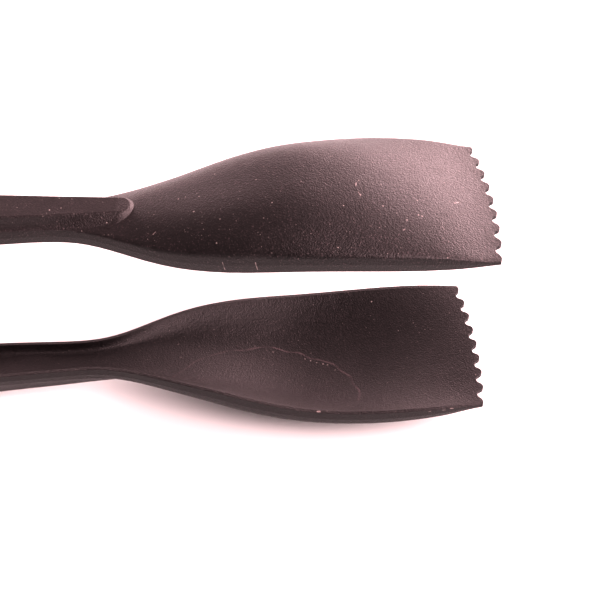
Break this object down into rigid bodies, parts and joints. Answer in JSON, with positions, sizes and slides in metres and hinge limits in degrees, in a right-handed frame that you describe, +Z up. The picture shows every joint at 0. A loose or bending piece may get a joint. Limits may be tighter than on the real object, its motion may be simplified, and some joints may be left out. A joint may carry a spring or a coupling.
{
  "type": "spudger tongs",
  "caption": "Two-armed black plastic spudger with shallow toothed scoop blades facing each other, joined at the tail by a sprung hinge with a hanging ring.",
  "frame": {"origin": "centre of the bounding box on the surface the tool rests on", "axes": "+X from the hinge toward the blade tips, +Y across the blades, +Z up, from the lower arm to the upper arm"},
  "size_m": [0.1768, 0.0318, 0.0458],
  "materials": {
    "arm_plastic": "fine spark-eroded grain, matt black with a warm cast",
    "pin_steel": "bright turned steel",
    "nut_steel": "dark spring steel",
    "washer_plastic": "natural acetal",
    "spring_steel": "drawn spring wire",
    "ring_steel": "nickel plated wire"
  },
  "bodies": {
    "lower_body": {"lower_arm": "arm_plastic", "hinge_pin": "pin_steel", "push_nut": "nut_steel", "thrust_washer_left": "washer_plastic", "thrust_washer_right": "washer_plastic", "spring_bush": "washer_plastic", "torsion_spring": "spring_steel"},
    "upper_body": {"upper_arm": "arm_plastic"},
    "ring_body": {"hang_ring": "ring_steel"}
  },
  "joints": [
    {"name": "arm_hinge", "type": "hinge", "parent": "lower_body", "child": "upper_body", "pos_m": [-0.07289, 0, 0.0229], "axis": [0, 1, 0], "range_deg": [0, 10.85], "stiffness_Nm_per_rad": 0.7, "springref_deg": -3.44, "deforming": ["torsion_spring"]},
    {"name": "ring_swing", "type": "hinge", "parent": "lower_body", "child": "ring_body", "pos_m": [-0.08439, 0, 0.0214], "axis": [0, 1, 0], "range_deg": [-8, 100]}
  ]
}
